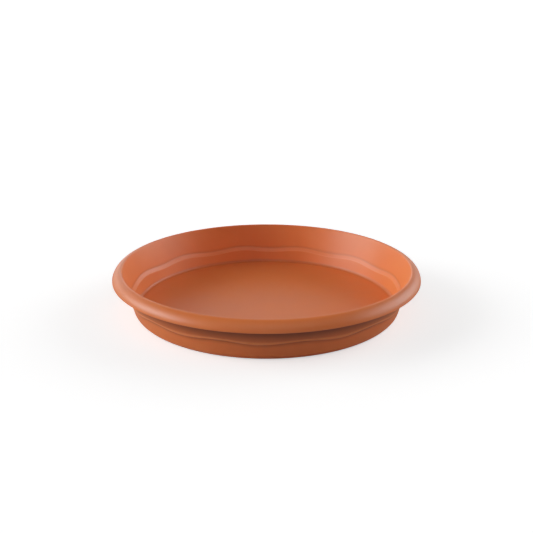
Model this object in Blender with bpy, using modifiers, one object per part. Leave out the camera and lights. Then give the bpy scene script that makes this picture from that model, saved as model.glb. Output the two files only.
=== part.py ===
"""Round plant-pot saucer, moulded in one piece in terracotta-coloured plastic.

Metres, +Z up. The origin is the centre of the foot, on the surface that the saucer stands on.
The cross-section is a closed outline, turned about Z. The ledge that runs round the wall then
gets its waves.
"""

import math

import bmesh
import bpy

# Overall size
RIM_RADIUS = 0.150
HEIGHT = 0.0432
THICKNESS = 0.0018

# Wall: a cone that opens upwards, stepped outwards above the ledge
FOOT_RADIUS = 0.1296  # where the lower wall's outer face would meet the ground
WALL_SLOPE = 0.2612  # radius gained per unit of height
FOOT_CORNER = 0.0080

# Rounding between the flat floor and the wall
FLOOR_CORNER = 0.0035

# Ledge: a short sloping step, taller inside than outside, which rises and falls in even waves round the wall
LEDGE_STEP = 0.0015
LEDGE_TOP = 0.0191
LEDGE_BOTTOM = 0.0173
LEDGE_INNER_TOP = 0.0184
LEDGE_INNER_BOTTOM = 0.0146
LEDGE_EDGE = 0.0014
WAVES = 12
WAVE_HEIGHT = 0.0012  # mean line to crest
WAVE_PHASE = math.radians(13)  # angle of the first crest from +X
WAVE_REACH = 0.0045  # how far above and below the ledge its waves move the wall's points

# Rim: turned over into a hollow bead, open below
CREST_RADIUS = 0.1415
CREST_EDGE = 0.0014
LIP_HEIGHT = 0.0338
LIP_EDGE = 0.0004
BEAD_FULLNESS = 1.82  # exponent of the bead's outline: 2 is an ellipse, less is flatter
BEAD_ROOT = 0.0012

# Underside: shallow recess inside a flat foot ring
FOOT_RING_INNER = 0.1120
RECESS_DEPTH = 0.0004
RECESS_SLOPE = 0.0010

TURN_STEPS = 96

TERRACOTTA = (0.53, 0.13, 0.045, 1.0)
ROUGHNESS = 0.42


def lower_wall(z, inward=0.0):
    """Radius of the wall below the ledge, at a depth measured square to its outer face."""
    return FOOT_RADIUS + WALL_SLOPE * z - inward * math.hypot(1, WALL_SLOPE)


def upper_wall(z, inward=0.0):
    """Radius of the wall above the ledge, at a depth measured square to its outer face."""
    return lower_wall(z, inward) + LEDGE_STEP


def rounded(corners):
    """Points of an outline given as corners (radius, height, rounding, segments).

    A corner with no rounding is kept. Any other becomes an arc that is tangent to both its sides.
    """
    points = []
    last = len(corners) - 1
    for i, (r, z, rounding, segments) in enumerate(corners):
        if not rounding or i in (0, last):
            points.append((r, z))
            continue
        before = math.atan2(corners[i - 1][1] - z, corners[i - 1][0] - r)
        after = math.atan2(corners[i + 1][1] - z, corners[i + 1][0] - r)
        half = math.remainder(after - before, math.tau) / 2
        middle = before + half
        to_centre = rounding / math.sin(abs(half))
        centre_r = r + to_centre * math.cos(middle)
        centre_z = z + to_centre * math.sin(middle)
        turn = math.copysign(math.pi / 2 - abs(half), half)
        for k in range(segments + 1):
            angle = middle + math.pi + turn * (1 - 2 * k / segments)
            points.append((centre_r + rounding * math.cos(angle), centre_z + rounding * math.sin(angle)))
    return points


def bead(from_r, from_z, to_r, to_z, segments):
    """Quarter curve of the bead, from level at its top to upright at its lip."""
    power = 2 / BEAD_FULLNESS
    points = []
    for k in range(segments + 1):
        angle = math.pi / 2 * k / segments
        across = math.sin(angle) ** power
        down = math.cos(angle) ** power if k < segments else 0.0
        points.append((from_r + (to_r - from_r) * across, to_z + (from_z - to_z) * down))
    return points


def ledge(bottom, top, inward=0.0):
    """The ledge's two corners on one face of the wall, lower one first."""
    return [
        (lower_wall(bottom, inward), bottom, LEDGE_EDGE, 2),
        (upper_wall(top, inward), top, LEDGE_EDGE, 2),
    ]


def section():
    """The cross-section, from the floor's centre over the rim to the underside's centre."""
    floor = THICKNESS + RECESS_DEPTH
    inner = rounded(
        [
            (0, floor, 0, 0),
            (lower_wall(floor, THICKNESS), floor, FLOOR_CORNER, 5),
            *ledge(LEDGE_INNER_BOTTOM, LEDGE_INNER_TOP, THICKNESS),
            (upper_wall(HEIGHT, THICKNESS), HEIGHT, CREST_EDGE, 4),
            (CREST_RADIUS + CREST_EDGE, HEIGHT, 0, 0),
        ]
    )[:-1]
    over = bead(CREST_RADIUS, HEIGHT, RIM_RADIUS, LIP_HEIGHT + LIP_EDGE, 8)[1:]
    root = upper_wall(HEIGHT - THICKNESS)
    lip_inner = RIM_RADIUS - THICKNESS
    under = bead(root + BEAD_ROOT, HEIGHT - THICKNESS, lip_inner, LIP_HEIGHT + LIP_EDGE, 5)[::-1]
    lip = [(RIM_RADIUS - LIP_EDGE, LIP_HEIGHT), (lip_inner + LIP_EDGE, LIP_HEIGHT)]
    outer = rounded(
        [
            (root + BEAD_ROOT, HEIGHT - THICKNESS, 0, 0),
            (root, HEIGHT - THICKNESS - BEAD_ROOT, 0, 0),
            *ledge(LEDGE_BOTTOM, LEDGE_TOP)[::-1],
            (lower_wall(0), 0, FOOT_CORNER, 5),
            (FOOT_RING_INNER, 0, 0, 0),
            (FOOT_RING_INNER - RECESS_SLOPE, RECESS_DEPTH, 0, 0),
            (0, RECESS_DEPTH, 0, 0),
        ]
    )[1:]
    return inner + over + lip + under + outer


def turned(name, points):
    """A mesh object made by turning the outline once about Z."""
    outline = bpy.data.meshes.new(name + "_outline")
    edges = [(i, i + 1) for i in range(len(points) - 1)]
    outline.from_pydata([(r, 0, z) for r, z in points], edges, [])
    obj = bpy.data.objects.new(name, outline)
    screw = obj.modifiers.new("Turn", "SCREW")
    screw.steps = TURN_STEPS
    screw.render_steps = TURN_STEPS
    screw.use_merge_vertices = True
    screw.merge_threshold = 0.00001
    return obj


def applied(obj):
    """Replaces the object's mesh with the one its modifiers make, welded along the axis and the seam."""
    graph = bpy.context.evaluated_depsgraph_get()
    mesh = bpy.data.meshes.new_from_object(obj.evaluated_get(graph))
    work = bmesh.new()
    work.from_mesh(mesh)
    bmesh.ops.remove_doubles(work, verts=work.verts, dist=0.00001)
    work.to_mesh(mesh)
    work.free()
    outline = obj.data
    obj.modifiers.clear()
    obj.data = mesh
    bpy.data.meshes.remove(outline)
    mesh.name = obj.name


def wave_ledge(mesh):
    """Slides the ledge's points up and down the wall, in even waves round it."""
    for vertex in mesh.vertices:
        x, y, z = vertex.co
        radius = math.hypot(x, y)
        on_wall = FOOT_RADIUS < radius < RIM_RADIUS - THICKNESS
        if not on_wall or abs(z - (LEDGE_TOP + LEDGE_INNER_BOTTOM) / 2) > WAVE_REACH:
            continue
        rise = WAVE_HEIGHT * math.cos(WAVES * (math.atan2(y, x) - WAVE_PHASE))
        grown = 1 + WALL_SLOPE * rise / radius
        vertex.co = (x * grown, y * grown, z + rise)


def terracotta_plastic():
    material = bpy.data.materials.new("terracotta_plastic")
    material.use_nodes = True
    shader = material.node_tree.nodes["Principled BSDF"]
    shader.inputs["Base Color"].default_value = TERRACOTTA
    shader.inputs["Roughness"].default_value = ROUGHNESS
    shader.inputs["Metallic"].default_value = 0.0
    return material


def main():
    for obj in list(bpy.data.objects):
        bpy.data.objects.remove(obj)
    parts = bpy.data.collections.new("plant_saucer")
    bpy.context.scene.collection.children.link(parts)
    saucer = turned("saucer", section())
    parts.objects.link(saucer)
    applied(saucer)
    wave_ledge(saucer.data)
    saucer.data.materials.append(terracotta_plastic())
    saucer.data.shade_smooth()
    saucer.data.set_sharp_from_angle(angle=math.radians(40))


main()
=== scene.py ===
"""Plant-pot saucer in terracotta-coloured plastic: its fine surface, its material, a studio and the camera.

Metres, +Z up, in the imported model's frame. The saucer is turned about Z from one outline, and the ledge round
its wall gets its waves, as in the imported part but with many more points.
"""

import math

import bmesh
import bpy
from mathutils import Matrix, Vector


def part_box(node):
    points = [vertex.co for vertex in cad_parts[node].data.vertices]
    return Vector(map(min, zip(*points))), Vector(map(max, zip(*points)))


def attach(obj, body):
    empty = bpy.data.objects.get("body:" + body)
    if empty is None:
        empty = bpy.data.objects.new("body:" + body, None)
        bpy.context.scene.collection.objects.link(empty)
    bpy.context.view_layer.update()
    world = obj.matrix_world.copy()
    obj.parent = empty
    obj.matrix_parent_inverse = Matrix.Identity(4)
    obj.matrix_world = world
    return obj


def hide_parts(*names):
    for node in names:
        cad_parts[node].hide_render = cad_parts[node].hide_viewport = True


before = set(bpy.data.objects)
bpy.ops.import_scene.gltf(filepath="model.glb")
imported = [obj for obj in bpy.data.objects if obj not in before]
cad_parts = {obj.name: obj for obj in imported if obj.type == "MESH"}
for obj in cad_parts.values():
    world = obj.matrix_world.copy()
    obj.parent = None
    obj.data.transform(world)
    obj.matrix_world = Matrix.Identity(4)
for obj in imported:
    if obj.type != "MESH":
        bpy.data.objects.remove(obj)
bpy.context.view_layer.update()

CAD_NODE = "saucer"
LOW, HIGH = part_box(CAD_NODE)

# Overall size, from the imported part
RIM_RADIUS = HIGH.x
HEIGHT = HIGH.z
THICKNESS = 0.0018

# Wall: a cone that opens upwards, stepped outwards above the ledge
FOOT_RADIUS = 0.1296
WALL_SLOPE = 0.2612
FOOT_CORNER = 0.0080

# Rounding between the flat floor and the wall
FLOOR_CORNER = 0.0035

# Ledge: a short sloping step, which rises and falls in even waves round the wall
LEDGE_STEP = 0.0015
LEDGE_TOP = 0.0191
LEDGE_BOTTOM = 0.0173
LEDGE_INNER_TOP = 0.0184
LEDGE_INNER_BOTTOM = 0.0146
LEDGE_EDGE = 0.0014
WAVES = 12
WAVE_HEIGHT = 0.0012
WAVE_PHASE = math.radians(13)
WAVE_REACH = 0.0060

# Rim: turned over into a hollow bead, open below
CREST_RADIUS = 0.1415
CREST_EDGE = 0.0014
LIP_HEIGHT = 0.0338
LIP_EDGE = 0.0005
LIP_ROUNDING = LIP_EDGE * 0.999
BEAD_FULLNESS = 1.82
BEAD_ROOT = 0.0012

# Underside: shallow recess inside a flat foot ring
FOOT_RING_INNER = 0.1120
RECESS_DEPTH = 0.0004
RECESS_SLOPE = 0.0010
RECESS_EDGE = 0.0006

# Fineness: steps round the axis, and the longest straight stretch of the outline
TURN_STEPS = 432
LONGEST_STRETCH = 0.004

# Plastic: colours. A range is where an effect starts and where it is full.
PALE = (0.81, 0.192, 0.051, 1.0)
DEEP = (0.76, 0.172, 0.044, 1.0)
MOTTLE_SIZE = 0.045
NOISE_SPREAD = (0.3, 0.7)
STREAK = (0.84, 0.215, 0.070, 1.0)
FLOW_LINES = 9.0
STREAK_SPREAD = (0.45, 0.75)
STREAK_STRENGTH = 0.12

# Plastic: the worn foot ring, a guess
WORN = (0.80, 0.42, 0.27, 1.0)
WORN_HEIGHT = 0.0006
RUB_SIZE = 0.006
RUB_SPREAD = (0.42, 0.62)
RUB_STRENGTH = (0.1, 0.7)
WORN_DULLING = 0.3

# Plastic: shade and highlight painted into the colour, in creases, on edges and under the rim
BEND_REACH = 0.0012
SHARP_BEND = math.radians(30)
CREASE_SHADE = (0.20, 0.042, 0.013, 1.0)
CREASE_RANGE = (-0.8, -0.15)
CREASE_COLOUR_KEPT = 0.62
PALE_EDGE = (0.93, 0.30, 0.11, 1.0)
EDGE_RANGE = (0.38, 0.75)
EDGE_STRENGTH = 0.85
BELOW_RIM_RANGE = (0.022, 0.027)
UNDER_RIM = (0.27, 0.062, 0.020, 1.0)
UNDER_RIM_RANGE = (0.0170, 0.0285)
OUTSIDE_RANGE = (0.2, 0.5)
LIP_RANGE = (0.1415, 0.1425)

# Plastic: gloss, translucency and grain
ROUGHNESS = 0.42
GLOSS_VARIATION = 0.03
FLOW_GLOSS_VARIATION = 0.02
IOR = 1.49
SPECULAR_LEVEL = 0.5
TRANSLUCENCY = 0.08
TRANSLUCENCY_BY_COLOUR = (1.0, 0.35, 0.15)
TRANSLUCENCY_DEPTH = 0.0025
GRAIN_SIZE = 0.0006
GRAIN_DEPTH = 0.00003
GRAIN_STRENGTH = 0.25
WAVINESS_SIZE = 0.03
WAVINESS_DEPTH = 0.0002
WAVINESS_STRENGTH = 0.3

# Stage and light. A soft light is a name, azimuth, elevation, full-strength radius, outer radius (degrees)
# and strength.
STAGE_HALF_SIDE = 6.0
BACKDROP_RADIUS = 9.0
BACKDROP_GLOW = 1.05
FLOOR_COLOUR = 0.98
FLOOR_GLOW = 0.475
GROUND_COLOUR = 0.52
GROUND_DROP = 0.0005
SKY_STRETCH = 1.87
SOFT_LIGHTS = (
    ("left softbox", 184, 29, 8, 31, 5.55),
    ("halo of the left softbox", 161, 45, 7, 28, 0.7),
    ("right softbox", 20, 28, 7, 41, 2.8),
    ("low back light", 106, 0, 13, 60, 1.35),
    ("front fill", 273, 60, 4, 30, 0.6),
)
EVEN_LIGHT = 0.005
COMBINED_CURVE = 3
SHOULDER = 0.5
SHOULDER_POINTS = (0.03, 0.08, 0.15, 0.25, 0.4, 0.6, 0.8)

# Camera
LENS_MM = 50
SENSOR_MM = 36
VIEW_DISTANCE = 0.7305
VIEW_ELEVATION = math.radians(18.86)
VIEW_TARGET = Vector((0, 0, 0.0396))


def lower_wall(z, inward=0.0):
    """Radius of the wall below the ledge, at a depth measured square to its outer face."""
    return FOOT_RADIUS + WALL_SLOPE * z - inward * math.hypot(1, WALL_SLOPE)


def upper_wall(z, inward=0.0):
    """Radius of the wall above the ledge, at a depth measured square to its outer face."""
    return lower_wall(z, inward) + LEDGE_STEP


def rounded(corners):
    """Points of an outline given as corners (radius, height, rounding, segments), each rounded by an arc."""
    points = []
    last = len(corners) - 1
    for i, (r, z, rounding, segments) in enumerate(corners):
        if not rounding or i in (0, last):
            points.append((r, z))
            continue
        before = math.atan2(corners[i - 1][1] - z, corners[i - 1][0] - r)
        after = math.atan2(corners[i + 1][1] - z, corners[i + 1][0] - r)
        half = math.remainder(after - before, math.tau) / 2
        middle = before + half
        to_centre = rounding / math.sin(abs(half))
        centre_r = r + to_centre * math.cos(middle)
        centre_z = z + to_centre * math.sin(middle)
        turn = math.copysign(math.pi / 2 - abs(half), half)
        for k in range(segments + 1):
            angle = middle + math.pi + turn * (1 - 2 * k / segments)
            points.append((centre_r + rounding * math.cos(angle), centre_z + rounding * math.sin(angle)))
    return points


def bead(from_r, from_z, to_r, to_z, segments):
    """Quarter curve of the bead, from level at its top to upright at its lip."""
    power = 2 / BEAD_FULLNESS
    points = []
    for k in range(segments + 1):
        angle = math.pi / 2 * k / segments
        across = math.sin(angle) ** power
        down = math.cos(angle) ** power if k < segments else 0.0
        points.append((from_r + (to_r - from_r) * across, to_z + (from_z - to_z) * down))
    return points


def ledge(bottom, top, inward=0.0):
    """The ledge's two corners on one face of the wall, lower one first."""
    return [
        (lower_wall(bottom, inward), bottom, LEDGE_EDGE, 6),
        (upper_wall(top, inward), top, LEDGE_EDGE, 6),
    ]


def outline():
    """The cross-section, from the floor's centre over the rim to the underside's centre."""
    floor = THICKNESS + RECESS_DEPTH
    inner = rounded(
        [
            (0, floor, 0, 0),
            (lower_wall(floor, THICKNESS), floor, FLOOR_CORNER, 16),
            *ledge(LEDGE_INNER_BOTTOM, LEDGE_INNER_TOP, THICKNESS),
            (upper_wall(HEIGHT, THICKNESS), HEIGHT, CREST_EDGE, 12),
            (CREST_RADIUS + CREST_EDGE, HEIGHT, 0, 0),
        ]
    )[:-1]
    over = bead(CREST_RADIUS, HEIGHT, RIM_RADIUS, LIP_HEIGHT + LIP_EDGE, 28)[1:]
    root = upper_wall(HEIGHT - THICKNESS)
    lip_inner = RIM_RADIUS - THICKNESS
    under = bead(root + BEAD_ROOT, HEIGHT - THICKNESS, lip_inner, LIP_HEIGHT + LIP_EDGE, 14)[::-1]
    lip = rounded(
        [
            over[-1] + (0, 0),
            (RIM_RADIUS, LIP_HEIGHT, LIP_ROUNDING, 4),
            (lip_inner, LIP_HEIGHT, LIP_ROUNDING, 4),
            under[0] + (0, 0),
        ]
    )[1:-1]
    outer = rounded(
        [
            (root + 2 * BEAD_ROOT, HEIGHT - THICKNESS, 0, 0),
            (root, HEIGHT - THICKNESS, BEAD_ROOT, 6),
            *ledge(LEDGE_BOTTOM, LEDGE_TOP)[::-1],
            (lower_wall(0), 0, FOOT_CORNER, 16),
            (FOOT_RING_INNER, 0, RECESS_EDGE, 3),
            (FOOT_RING_INNER - RECESS_SLOPE, RECESS_DEPTH, RECESS_EDGE, 3),
            (0, RECESS_DEPTH, 0, 0),
        ]
    )[1:]
    return inner + over + lip + under[:-1] + outer


def spread(points, longest):
    """The outline with its long straight stretches divided, so that no face is much longer than wide."""
    divided = [points[0]]
    for (r0, z0), (r1, z1) in zip(points, points[1:]):
        parts = max(1, math.ceil(math.hypot(r1 - r0, z1 - z0) / longest))
        divided += [(r0 + (r1 - r0) * k / parts, z0 + (z1 - z0) * k / parts) for k in range(1, parts + 1)]
    return divided


def wave(r, z, angle):
    """Where an outline point goes at an angle round the saucer: the ledge slides up and down the wall."""
    off_ledge = abs(z - (LEDGE_TOP + LEDGE_INNER_BOTTOM) / 2)
    if not FOOT_RADIUS < r < RIM_RADIUS - THICKNESS or off_ledge > WAVE_REACH:
        return r, z
    fade = min(1.0, 2 * (1 - off_ledge / WAVE_REACH))
    rise = fade * WAVE_HEIGHT * math.cos(WAVES * (angle - WAVE_PHASE))
    return r + WALL_SLOPE * rise, z + rise


def bends(points):
    """How the outline turns near each point: 1 for a sharp outer edge, -1 for a sharp inner corner."""
    along = [0.0]
    turns = [0.0]
    for (r0, z0), (r1, z1) in zip(points, points[1:]):
        along.append(along[-1] + math.hypot(r1 - r0, z1 - z0))
    for (r0, z0), (r1, z1), (r2, z2) in zip(points, points[1:], points[2:]):
        turn = math.atan2(z2 - z1, r2 - r1) - math.atan2(z1 - z0, r1 - r0)
        turns.append(-math.remainder(turn, math.tau))
    turns.append(0.0)
    found = []
    for here in along:
        near = sum(turn * max(0.0, 1 - abs(there - here) / BEND_REACH) for there, turn in zip(along, turns))
        found.append(max(-1.0, min(1.0, near / SHARP_BEND)))
    return found


def turned_mesh(name, points):
    """The outline turned about Z, with one point where it starts and one where it ends, on the axis."""
    rings = points[1:-1]
    vertices = [(0, 0, points[0][1])]
    for r, z in rings:
        for step in range(TURN_STEPS):
            angle = math.tau * step / TURN_STEPS
            there_r, there_z = wave(r, z, angle)
            vertices.append((there_r * math.cos(angle), there_r * math.sin(angle), there_z))
    vertices.append((0, 0, points[-1][1]))
    last = len(vertices) - 1
    faces = []
    for step in range(TURN_STEPS):
        here, there = 1 + step, 1 + (step + 1) % TURN_STEPS
        faces.append((0, here, there))
        for ring in range(len(rings) - 1):
            inside, outside = ring * TURN_STEPS, (ring + 1) * TURN_STEPS
            faces.append((inside + here, outside + here, outside + there, inside + there))
        end = (len(rings) - 1) * TURN_STEPS
        faces.append((end + here, last, end + there))
    mesh = bpy.data.meshes.new(name)
    mesh.from_pydata(vertices, [], faces)
    bend = bends(points)
    values = [bend[0]] + [value for value in bend[1:-1] for _ in range(TURN_STEPS)] + [bend[-1]]
    mesh.attributes.new("bend", "FLOAT", "POINT").data.foreach_set("value", values)
    mesh.validate()
    mesh.shade_smooth()
    return mesh


def node(tree, kind, label, **settings):
    """A shader node with its label and settings; a setting that isn't an attribute is the node's input."""
    made = tree.nodes.new(kind)
    made.label = label
    for key, value in settings.items():
        if hasattr(made, key):
            setattr(made, key, value)
        else:
            made.inputs[key.replace("_", " ")].default_value = value
    return made


def remapped(tree, value, label, low, high, to_low, to_high, interpolation="LINEAR"):
    """The value brought from the range low..high to the range to_low..to_high, and held there."""
    remap = node(tree, "ShaderNodeMapRange", label, interpolation_type=interpolation, clamp=True)
    for name, number in (("From Min", low), ("From Max", high), ("To Min", to_low), ("To Max", to_high)):
        remap.inputs[name].default_value = number
    tree.links.new(value, remap.inputs["Value"])
    return remap.outputs["Result"]


def blended(tree, factor, below, above, label):
    """A colour that goes from one to the other; either may be a colour or another node's output."""
    blend = node(tree, "ShaderNodeMix", label, data_type="RGBA")
    tree.links.new(factor, blend.inputs["Factor"])
    for socket, colour in ((blend.inputs[6], below), (blend.inputs[7], above)):
        if isinstance(colour, tuple):
            socket.default_value = colour
        else:
            tree.links.new(colour, socket)
    return blend.outputs[2]


def noise(tree, vector, label, scale, detail=2.0, roughness=0.5):
    """Smooth noise whose features are about 1 / scale metres across."""
    made = node(tree, "ShaderNodeTexNoise", label, Scale=scale, Detail=detail, Roughness=roughness)
    tree.links.new(vector, made.inputs["Vector"])
    return made.outputs["Fac"]


def terracotta_plastic():
    """Satin, slightly translucent plastic, with moulding marks, and painted shade and highlight in its colour.
    """
    material = bpy.data.materials.new("terracotta_plastic")
    material.use_nodes = True
    tree = material.node_tree
    link = tree.links.new
    shader = tree.nodes["Principled BSDF"]
    shader.inputs["IOR"].default_value = IOR
    shader.inputs["Specular IOR Level"].default_value = SPECULAR_LEVEL
    shader.inputs["Subsurface Weight"].default_value = TRANSLUCENCY
    shader.inputs["Subsurface Radius"].default_value = TRANSLUCENCY_BY_COLOUR
    shader.inputs["Subsurface Scale"].default_value = TRANSLUCENCY_DEPTH

    place = node(tree, "ShaderNodeTexCoord", "place on the saucer").outputs["Object"]

    # Flow lines: stretched noise, which runs out from the middle where the mould was filled
    around = node(tree, "ShaderNodeVectorMath", "squash to flat", operation="MULTIPLY")
    around.inputs[1].default_value = (1.0, 1.0, 0.0)
    link(place, around.inputs[0])
    direction = node(tree, "ShaderNodeVectorMath", "direction from the axis", operation="NORMALIZE")
    link(around.outputs["Vector"], direction.inputs[0])
    outwards = node(tree, "ShaderNodeVectorMath", "slow change outwards", operation="ADD")
    link(direction.outputs["Vector"], outwards.inputs[0])
    link(place, outwards.inputs[1])
    flow = noise(tree, outwards.outputs["Vector"], "flow lines", FLOW_LINES, detail=3.0, roughness=0.6)

    # Colour: uneven pigment, the flow lines, a paler worn foot, and painted shade darkening the creases
    mottle = noise(tree, place, "uneven pigment", 1 / MOTTLE_SIZE, detail=4.0, roughness=0.55)
    mottled = remapped(tree, mottle, "mottle spread", *NOISE_SPREAD, 0.0, 1.0)
    pigment = blended(tree, mottled, DEEP, PALE, "pigment")
    streaks = remapped(tree, flow, "streak spread", *STREAK_SPREAD, 0.0, STREAK_STRENGTH)
    streaked = blended(tree, streaks, pigment, STREAK, "streaks")
    height = node(tree, "ShaderNodeSeparateXYZ", "height above ground")
    link(place, height.inputs["Vector"])
    at_foot = remapped(tree, height.outputs["Z"], "foot ring", 0.0, WORN_HEIGHT, 1.0, 0.0)
    rubs = noise(tree, place, "rubbed patches", 1 / RUB_SIZE, detail=5.0, roughness=0.65)
    worn = node(tree, "ShaderNodeMath", "worn foot", operation="MULTIPLY")
    link(at_foot, worn.inputs[0])
    link(remapped(tree, rubs, "rub spread", *RUB_SPREAD, *RUB_STRENGTH), worn.inputs[1])
    rubbed = blended(tree, worn.outputs["Value"], streaked, WORN, "worn colour")
    surface = node(tree, "ShaderNodeNewGeometry", "surface")
    bend = node(tree, "ShaderNodeAttribute", "edges and creases", attribute_name="bend").outputs["Fac"]
    crease = remapped(tree, bend, "creases", *CREASE_RANGE, CREASE_COLOUR_KEPT, 1.0)
    creased = blended(tree, crease, CREASE_SHADE, rubbed, "painted shade in the creases")

    # Under the rim, on the outside, the base colour is painted darker. It stands in for a deep shadow that
    # the soft light doesn't make by itself, so this band stays dark in any light.
    out_facing = node(tree, "ShaderNodeVectorMath", "facing outwards", operation="DOT_PRODUCT")
    link(surface.outputs["Normal"], out_facing.inputs[0])
    link(direction.outputs["Vector"], out_facing.inputs[1])
    reach = node(tree, "ShaderNodeVectorMath", "distance from the axis", operation="LENGTH")
    link(around.outputs["Vector"], reach.inputs[0])
    near_rim = remapped(tree, height.outputs["Z"], "towards the rim", *UNDER_RIM_RANGE, 0.0, 1.0)
    outside = remapped(tree, out_facing.outputs["Value"], "outside", *OUTSIDE_RANGE, 0.0, 1.0)
    under = node(tree, "ShaderNodeMath", "outside and under the rim", operation="MULTIPLY")
    link(near_rim, under.inputs[0])
    link(outside, under.inputs[1])
    on_wall = node(tree, "ShaderNodeMath", "wall, not rim", operation="MULTIPLY")
    link(under.outputs["Value"], on_wall.inputs[0])
    link(remapped(tree, reach.outputs["Value"], "inside the lip", *LIP_RANGE, 1.0, 0.0), on_wall.inputs[1])
    shaded = blended(tree, on_wall.outputs["Value"], creased, UNDER_RIM, "painted shade under the rim")

    # Edges of the ledge are painted a little paler, in place of a stronger highlight. The rim isn't.
    low_edges = node(tree, "ShaderNodeMath", "edges below the rim", operation="MULTIPLY")
    link(remapped(tree, bend, "edges", *EDGE_RANGE, 0.0, EDGE_STRENGTH), low_edges.inputs[0])
    below_rim = remapped(tree, height.outputs["Z"], "below the rim", *BELOW_RIM_RANGE, 1.0, 0.0)
    link(below_rim, low_edges.inputs[1])
    edged = blended(tree, low_edges.outputs["Value"], shaded, PALE_EDGE, "paler edges")
    link(edged, shader.inputs["Base Color"])

    # Gloss: satin, a little uneven, and duller where it's rubbed
    satin = node(tree, "ShaderNodeMath", "satin", operation="ADD")
    gloss = (ROUGHNESS - GLOSS_VARIATION, ROUGHNESS + GLOSS_VARIATION)
    flow_gloss = (-FLOW_GLOSS_VARIATION, FLOW_GLOSS_VARIATION)
    link(remapped(tree, mottle, "uneven gloss", *NOISE_SPREAD, *gloss), satin.inputs[0])
    link(remapped(tree, flow, "flow gloss", *NOISE_SPREAD, *flow_gloss), satin.inputs[1])
    dulled = node(tree, "ShaderNodeMath", "dulled where worn", operation="MULTIPLY_ADD")
    link(worn.outputs["Value"], dulled.inputs[0])
    dulled.inputs[1].default_value = WORN_DULLING
    link(satin.outputs["Value"], dulled.inputs[2])
    link(dulled.outputs["Value"], shader.inputs["Roughness"])

    # Grain: the mould's fine spark-eroded texture over a slight waviness
    grain = node(tree, "ShaderNodeBump", "mould grain", Strength=GRAIN_STRENGTH, Distance=GRAIN_DEPTH)
    link(noise(tree, place, "grain", 1 / GRAIN_SIZE), grain.inputs["Height"])
    waviness = node(
        tree, "ShaderNodeBump", "waviness", Strength=WAVINESS_STRENGTH, Distance=WAVINESS_DEPTH
    )
    link(noise(tree, place, "slow waviness", 1 / WAVINESS_SIZE, detail=1.0), waviness.inputs["Height"])
    link(grain.outputs["Normal"], waviness.inputs["Normal"])
    link(waviness.outputs["Normal"], shader.inputs["Normal"])
    return material


def placed(name, mesh):
    """A new object with the mesh, in the scene."""
    made = bpy.data.objects.new(name, mesh)
    bpy.context.scene.collection.objects.link(made)
    return made


def matt(name, colour, glow):
    """A matt material for the stage, in a shade of grey, which may glow white."""
    material = bpy.data.materials.new(name)
    material.use_nodes = True
    shader = material.node_tree.nodes["Principled BSDF"]
    shader.inputs["Base Color"].default_value = (colour, colour, colour, 1)
    shader.inputs["Roughness"].default_value = 1.0
    shader.inputs["Specular IOR Level"].default_value = 0.0
    shader.inputs["Emission Color"].default_value = (1, 1, 1, 1)
    shader.inputs["Emission Strength"].default_value = glow
    return material


def sheet(name, half_side, height, colour, glow=0.0):
    """A square, level plane of the stage."""
    mesh = bpy.data.meshes.new(name)
    corners = [(x * half_side, y * half_side, height) for x, y in ((-1, -1), (1, -1), (1, 1), (-1, 1))]
    mesh.from_pydata(corners, [], [(0, 1, 2, 3)])
    mesh.materials.append(matt(name, colour, glow))
    made = placed(name, mesh)
    return made


def seen_only(obj):
    """Keeps a stage piece in view, but out of the light that reaches the saucer."""
    obj.visible_diffuse = False
    obj.visible_glossy = False
    obj.visible_transmission = False
    obj.visible_shadow = False


def backdrop():
    """A white dome round the stage, behind everything in view."""
    mesh = bpy.data.meshes.new("backdrop")
    work = bmesh.new()
    bmesh.ops.create_icosphere(work, subdivisions=4, radius=BACKDROP_RADIUS)
    work.to_mesh(mesh)
    work.free()
    mesh.materials.append(matt("backdrop", 0.0, BACKDROP_GLOW))
    dome = placed("backdrop", mesh)
    seen_only(dome)


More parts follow.
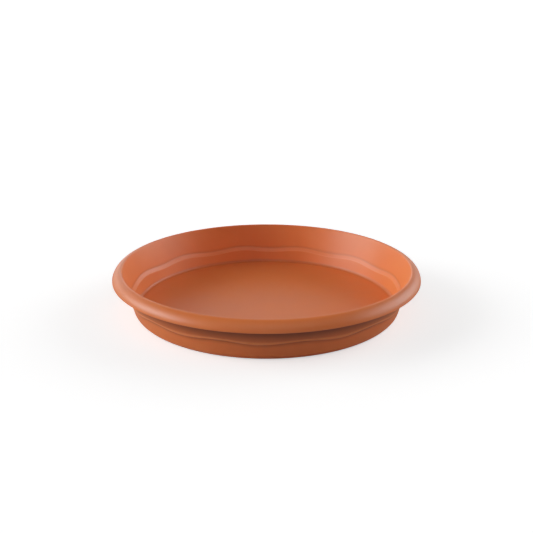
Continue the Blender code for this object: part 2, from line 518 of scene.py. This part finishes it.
def soft_light():
    """Light from all round, made of wide soft lobes in a flattened sky."""
    world = bpy.data.worlds.new("studio_light")
    world.use_nodes = True
    tree = world.node_tree
    sky = node(tree, "ShaderNodeTexCoord", "direction").outputs["Generated"]
    stretched = node(tree, "ShaderNodeVectorMath", "stretch upwards", operation="MULTIPLY")
    stretched.inputs[1].default_value = (1.0, 1.0, SKY_STRETCH)
    tree.links.new(sky, stretched.inputs[0])
    unit = node(tree, "ShaderNodeVectorMath", "unit length", operation="NORMALIZE")
    tree.links.new(stretched.outputs["Vector"], unit.inputs[0])
    total = None
    for name, azimuth, elevation, inner, outer, strength in SOFT_LIGHTS:
        turn, tilt = math.radians(azimuth), math.radians(elevation)
        towards = (math.cos(tilt) * math.cos(turn), math.cos(tilt) * math.sin(turn), math.sin(tilt))
        along = node(tree, "ShaderNodeVectorMath", name, operation="DOT_PRODUCT")
        along.inputs[1].default_value = towards
        tree.links.new(unit.outputs["Vector"], along.inputs[0])
        edge, core = math.cos(math.radians(outer)), math.cos(math.radians(inner))
        lobe = remapped(tree, along.outputs["Value"], name, edge, core, 0.0, strength, "SMOOTHSTEP")
        if total is None:
            total = lobe
            continue
        both = node(tree, "ShaderNodeMath", "add " + name, operation="ADD")
        tree.links.new(total, both.inputs[0])
        tree.links.new(lobe, both.inputs[1])
        total = both.outputs["Value"]
    even = node(tree, "ShaderNodeMath", "add even light", operation="ADD")
    tree.links.new(total, even.inputs[0])
    even.inputs[1].default_value = EVEN_LIGHT
    background = tree.nodes["Background"]
    background.inputs["Color"].default_value = (1, 1, 1, 1)
    tree.links.new(even.outputs["Value"], background.inputs["Strength"])
    bpy.context.scene.world = world


def film():
    """The standard view with a gentle shoulder, v (1 + k) / (1 + k v), so that bright parts roll off."""
    view = bpy.context.scene.view_settings
    view.view_transform = "Standard"
    view.use_curve_mapping = True
    curve = view.curve_mapping.curves[COMBINED_CURVE]
    for value in SHOULDER_POINTS:
        curve.points.new(value, value * (1 + SHOULDER) / (1 + SHOULDER * value))
    view.curve_mapping.update()


def studio():
    """A white, glowing floor and backdrop, seen only by the camera, and a grey ground that only lights."""
    seen_only(sheet("floor", STAGE_HALF_SIDE, 0.0, FLOOR_COLOUR, FLOOR_GLOW))
    ground = sheet("ground", STAGE_HALF_SIDE, -GROUND_DROP, GROUND_COLOUR)
    ground.visible_camera = False
    backdrop()
    soft_light()
    film()


def camera():
    """The camera, looking along +Y and down at the saucer."""
    data = bpy.data.cameras.new("camera")
    data.lens = LENS_MM
    data.sensor_width = SENSOR_MM
    view = bpy.data.objects.new("camera", data)
    back = Vector((0, -math.cos(VIEW_ELEVATION), math.sin(VIEW_ELEVATION)))
    view.location = VIEW_TARGET + VIEW_DISTANCE * back
    view.rotation_euler = (math.pi / 2 - VIEW_ELEVATION, 0, 0)
    bpy.context.scene.collection.objects.link(view)
    bpy.context.scene.camera = view


body = placed("saucer_body", turned_mesh("saucer_body", spread(outline(), LONGEST_STRETCH)))
body.data.materials.append(terracotta_plastic())
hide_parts(CAD_NODE)
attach(body, "root")

studio()
camera()
